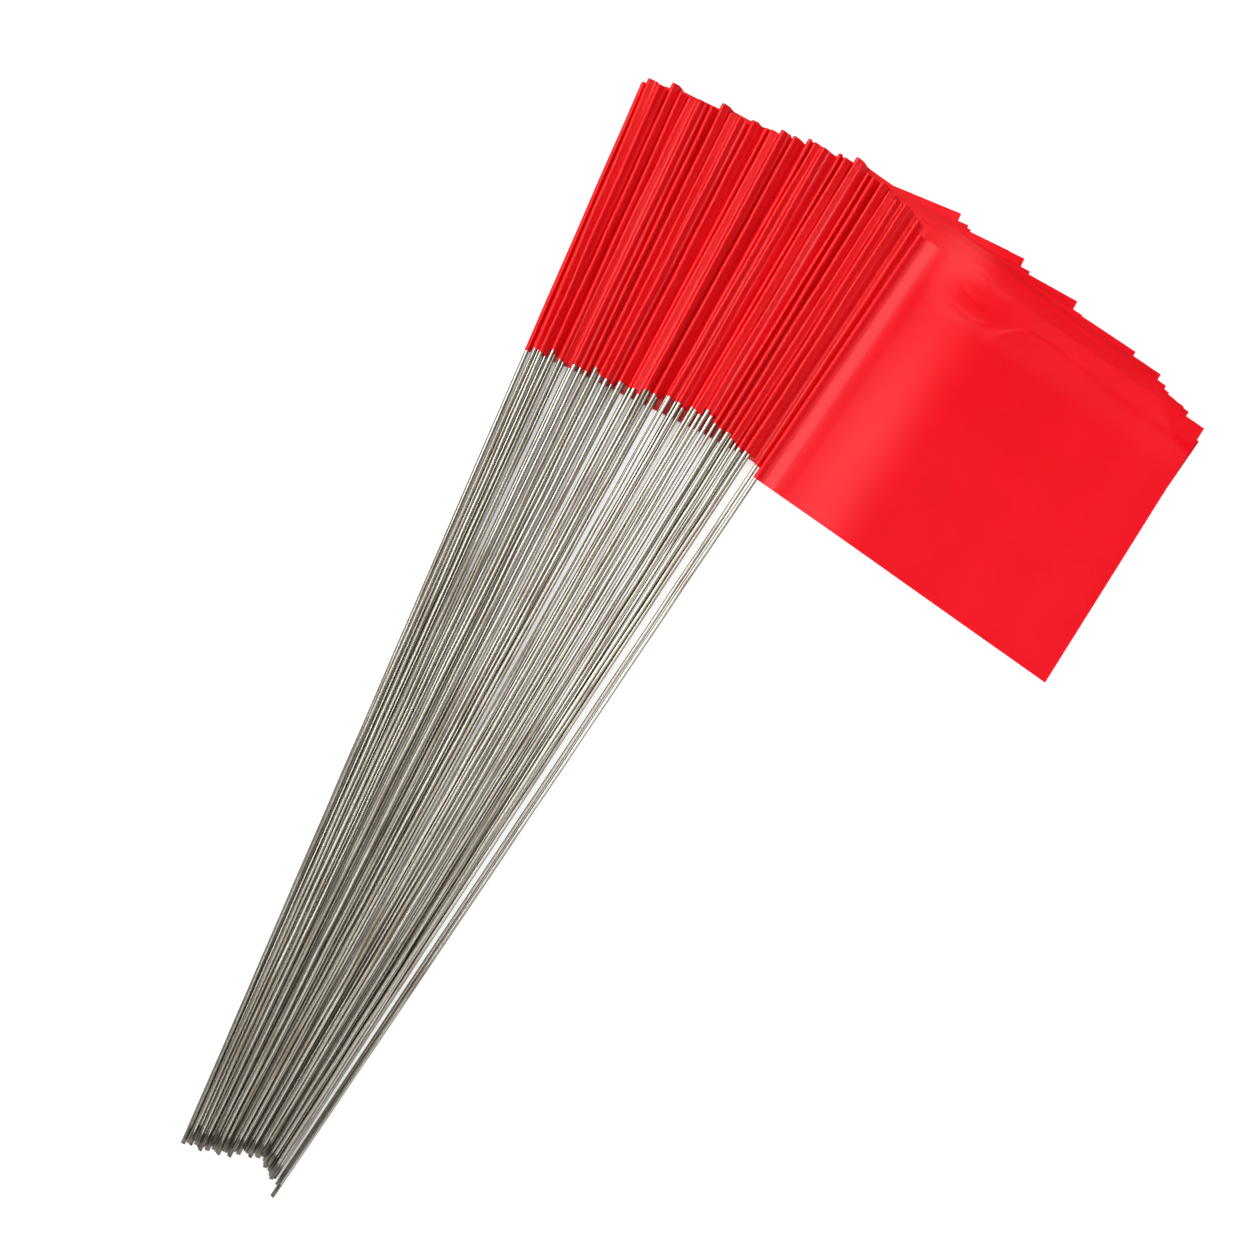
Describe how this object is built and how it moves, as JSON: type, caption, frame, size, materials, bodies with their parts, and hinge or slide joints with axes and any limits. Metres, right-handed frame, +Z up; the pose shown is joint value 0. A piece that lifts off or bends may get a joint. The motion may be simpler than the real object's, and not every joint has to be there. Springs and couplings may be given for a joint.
{
  "type": "bundle of wire-staff marking flags",
  "caption": "Fanned bundle of wire-staff marking flags: straight steel wires, each with a rectangular red plastic film sleeved over its top end.",
  "frame": {"origin": "bottom centre of the box round the whole bundle as it lies on a table", "axes": "+Z up from the table, +Y from the feet of the wires to the flags along the fan's middle line, +X towards the films' free edges"},
  "size_m": [0.2298, 0.4148, 0.0094],
  "materials": {
    "wire": "drawn, satin bright, slightly tarnished",
    "film": "semi-gloss film, faintly creased"
  },
  "bodies": {
    "flag_01": {"wire_01": "wire", "film_01": "film"},
    "flag_02": {"wire_02": "wire", "film_02": "film"},
    "flag_03": {"wire_03": "wire", "film_03": "film"},
    "flag_04": {"wire_04": "wire", "film_04": "film"},
    "flag_05": {"wire_05": "wire", "film_05": "film"},
    "flag_06": {"wire_06": "wire", "film_06": "film"},
    "flag_07": {"wire_07": "wire", "film_07": "film"},
    "flag_08": {"wire_08": "wire", "film_08": "film"},
    "flag_09": {"wire_09": "wire", "film_09": "film"},
    "flag_10": {"wire_10": "wire", "film_10": "film"},
    "flag_11": {"wire_11": "wire", "film_11": "film"},
    "flag_12": {"wire_12": "wire", "film_12": "film"},
    "flag_13": {"wire_13": "wire", "film_13": "film"},
    "flag_14": {"wire_14": "wire", "film_14": "film"},
    "flag_15": {"wire_15": "wire", "film_15": "film"},
    "flag_16": {"wire_16": "wire", "film_16": "film"},
    "flag_17": {"wire_17": "wire", "film_17": "film"},
    "flag_18": {"wire_18": "wire", "film_18": "film"},
    "flag_19": {"wire_19": "wire", "film_19": "film"},
    "flag_20": {"wire_20": "wire", "film_20": "film"},
    "flag_21": {"wire_21": "wire", "film_21": "film"},
    "flag_22": {"wire_22": "wire", "film_22": "film"},
    "flag_23": {"wire_23": "wire", "film_23": "film"},
    "flag_24": {"wire_24": "wire", "film_24": "film"},
    "flag_25": {"wire_25": "wire", "film_25": "film"},
    "flag_26": {"wire_26": "wire", "film_26": "film"},
    "flag_27": {"wire_27": "wire", "film_27": "film"},
    "flag_28": {"wire_28": "wire", "film_28": "film"},
    "flag_29": {"wire_29": "wire", "film_29": "film"},
    "flag_30": {"wire_30": "wire", "film_30": "film"}
  },
  "joints": [
    {"name": "fan_02", "type": "hinge", "parent": "flag_01", "child": "flag_02", "pos_m": [-0.07572, -0.20718, 0], "axis": [0, 0, -1], "range_deg": [0, 1.72]},
    {"name": "fan_03", "type": "hinge", "parent": "flag_01", "child": "flag_03", "pos_m": [-0.07452, -0.20708, 0], "axis": [0, 0, -1], "range_deg": [0, 3.43]},
    {"name": "fan_04", "type": "hinge", "parent": "flag_01", "child": "flag_04", "pos_m": [-0.07332, -0.20699, 0], "axis": [0, 0, -1], "range_deg": [0, 5.14]},
    {"name": "fan_05", "type": "hinge", "parent": "flag_01", "child": "flag_05", "pos_m": [-0.07213, -0.20691, 0], "axis": [0, 0, -1], "range_deg": [0, 6.86]},
    {"name": "fan_06", "type": "hinge", "parent": "flag_01", "child": "flag_06", "pos_m": [-0.07075, -0.20682, 0], "axis": [0, 0, -1], "range_deg": [0, 8.57]},
    {"name": "fan_07", "type": "hinge", "parent": "flag_01", "child": "flag_07", "pos_m": [-0.06955, -0.20675, 0], "axis": [0, 0, -1], "range_deg": [0, 10.29]},
    {"name": "fan_08", "type": "hinge", "parent": "flag_01", "child": "flag_08", "pos_m": [-0.06835, -0.20669, 0], "axis": [0, 0, -1], "range_deg": [0, 12]},
    {"name": "fan_09", "type": "hinge", "parent": "flag_01", "child": "flag_09", "pos_m": [-0.06715, -0.20664, 0], "axis": [0, 0, -1], "range_deg": [0, 13.72]},
    {"name": "fan_10", "type": "hinge", "parent": "flag_01", "child": "flag_10", "pos_m": [-0.06577, -0.20659, 0], "axis": [0, 0, -1], "range_deg": [0, 15.43]},
    {"name": "fan_11", "type": "hinge", "parent": "flag_01", "child": "flag_11", "pos_m": [-0.06457, -0.20655, 0], "axis": [0, 0, -1], "range_deg": [0, 17.14]},
    {"name": "fan_12", "type": "hinge", "parent": "flag_01", "child": "flag_12", "pos_m": [-0.06337, -0.20652, 0], "axis": [0, 0, -1], "range_deg": [0, 18.86]},
    {"name": "fan_13", "type": "hinge", "parent": "flag_01", "child": "flag_13", "pos_m": [-0.06217, -0.20649, 0], "axis": [0, 0, -1], "range_deg": [0, 20.57]},
    {"name": "fan_14", "type": "hinge", "parent": "flag_01", "child": "flag_14", "pos_m": [-0.06079, -0.20648, 0], "axis": [0, 0, -1], "range_deg": [0, 22.29]},
    {"name": "fan_15", "type": "hinge", "parent": "flag_01", "child": "flag_15", "pos_m": [-0.05959, -0.20647, 0], "axis": [0, 0, -1], "range_deg": [0, 24]},
    {"name": "fan_16", "type": "hinge", "parent": "flag_01", "child": "flag_16", "pos_m": [-0.05839, -0.20647, 0], "axis": [0, 0, -1], "range_deg": [0, 25.72]},
    {"name": "fan_17", "type": "hinge", "parent": "flag_01", "child": "flag_17", "pos_m": [-0.05719, -0.20648, 0], "axis": [0, 0, -1], "range_deg": [0, 27.43]},
    {"name": "fan_18", "type": "hinge", "parent": "flag_01", "child": "flag_18", "pos_m": [-0.05581, -0.20649, 0], "axis": [0, 0, -1], "range_deg": [0, 29.14]},
    {"name": "fan_19", "type": "hinge", "parent": "flag_01", "child": "flag_19", "pos_m": [-0.05461, -0.20652, 0], "axis": [0, 0, -1], "range_deg": [0, 30.86]},
    {"name": "fan_20", "type": "hinge", "parent": "flag_01", "child": "flag_20", "pos_m": [-0.05341, -0.20655, 0], "axis": [0, 0, -1], "range_deg": [0, 32.57]},
    {"name": "fan_21", "type": "hinge", "parent": "flag_01", "child": "flag_21", "pos_m": [-0.0522, -0.20658, 0], "axis": [0, 0, -1], "range_deg": [0, 34.29]},
    {"name": "fan_22", "type": "hinge", "parent": "flag_01", "child": "flag_22", "pos_m": [-0.05083, -0.20664, 0], "axis": [0, 0, -1], "range_deg": [0, 36]},
    {"name": "fan_23", "type": "hinge", "parent": "flag_01", "child": "flag_23", "pos_m": [-0.04963, -0.20669, 0], "axis": [0, 0, -1], "range_deg": [0, 37.72]},
    {"name": "fan_24", "type": "hinge", "parent": "flag_01", "child": "flag_24", "pos_m": [-0.04843, -0.20675, 0], "axis": [0, 0, -1], "range_deg": [0, 39.43]},
    {"name": "fan_25", "type": "hinge", "parent": "flag_01", "child": "flag_25", "pos_m": [-0.04723, -0.20682, 0], "axis": [0, 0, -1], "range_deg": [0, 41.14]},
    {"name": "fan_26", "type": "hinge", "parent": "flag_01", "child": "flag_26", "pos_m": [-0.04585, -0.20691, 0], "axis": [0, 0, -1], "range_deg": [0, 42.86]},
    {"name": "fan_27", "type": "hinge", "parent": "flag_01", "child": "flag_27", "pos_m": [-0.04465, -0.20699, 0], "axis": [0, 0, -1], "range_deg": [0, 44.57]},
    {"name": "fan_28", "type": "hinge", "parent": "flag_01", "child": "flag_28", "pos_m": [-0.04346, -0.20708, 0], "axis": [0, 0, -1], "range_deg": [0, 46.29]},
    {"name": "fan_29", "type": "hinge", "parent": "flag_01", "child": "flag_29", "pos_m": [-0.04226, -0.20718, 0], "axis": [0, 0, -1], "range_deg": [0, 48]},
    {"name": "lift_30", "type": "slide", "parent": "flag_29", "child": "flag_30", "axis": [0, 0, 1], "range_m": [0, 0.15]}
  ],
  "couplings": [
    {"joint": "fan_02", "follows": "fan_29", "ratio": 0.035714},
    {"joint": "fan_03", "follows": "fan_29", "ratio": 0.071429},
    {"joint": "fan_04", "follows": "fan_29", "ratio": 0.10714},
    {"joint": "fan_05", "follows": "fan_29", "ratio": 0.14286},
    {"joint": "fan_06", "follows": "fan_29", "ratio": 0.17857},
    {"joint": "fan_07", "follows": "fan_29", "ratio": 0.21429},
    {"joint": "fan_08", "follows": "fan_29", "ratio": 0.25},
    {"joint": "fan_09", "follows": "fan_29", "ratio": 0.28571},
    {"joint": "fan_10", "follows": "fan_29", "ratio": 0.32143},
    {"joint": "fan_11", "follows": "fan_29", "ratio": 0.35714},
    {"joint": "fan_12", "follows": "fan_29", "ratio": 0.39286},
    {"joint": "fan_13", "follows": "fan_29", "ratio": 0.42857},
    {"joint": "fan_14", "follows": "fan_29", "ratio": 0.46429},
    {"joint": "fan_15", "follows": "fan_29", "ratio": 0.5},
    {"joint": "fan_16", "follows": "fan_29", "ratio": 0.53571},
    {"joint": "fan_17", "follows": "fan_29", "ratio": 0.57143},
    {"joint": "fan_18", "follows": "fan_29", "ratio": 0.60714},
    {"joint": "fan_19", "follows": "fan_29", "ratio": 0.64286},
    {"joint": "fan_20", "follows": "fan_29", "ratio": 0.67857},
    {"joint": "fan_21", "follows": "fan_29", "ratio": 0.71429},
    {"joint": "fan_22", "follows": "fan_29", "ratio": 0.75},
    {"joint": "fan_23", "follows": "fan_29", "ratio": 0.78571},
    {"joint": "fan_24", "follows": "fan_29", "ratio": 0.82143},
    {"joint": "fan_25", "follows": "fan_29", "ratio": 0.85714},
    {"joint": "fan_26", "follows": "fan_29", "ratio": 0.89286},
    {"joint": "fan_27", "follows": "fan_29", "ratio": 0.92857},
    {"joint": "fan_28", "follows": "fan_29", "ratio": 0.96429}
  ]
}
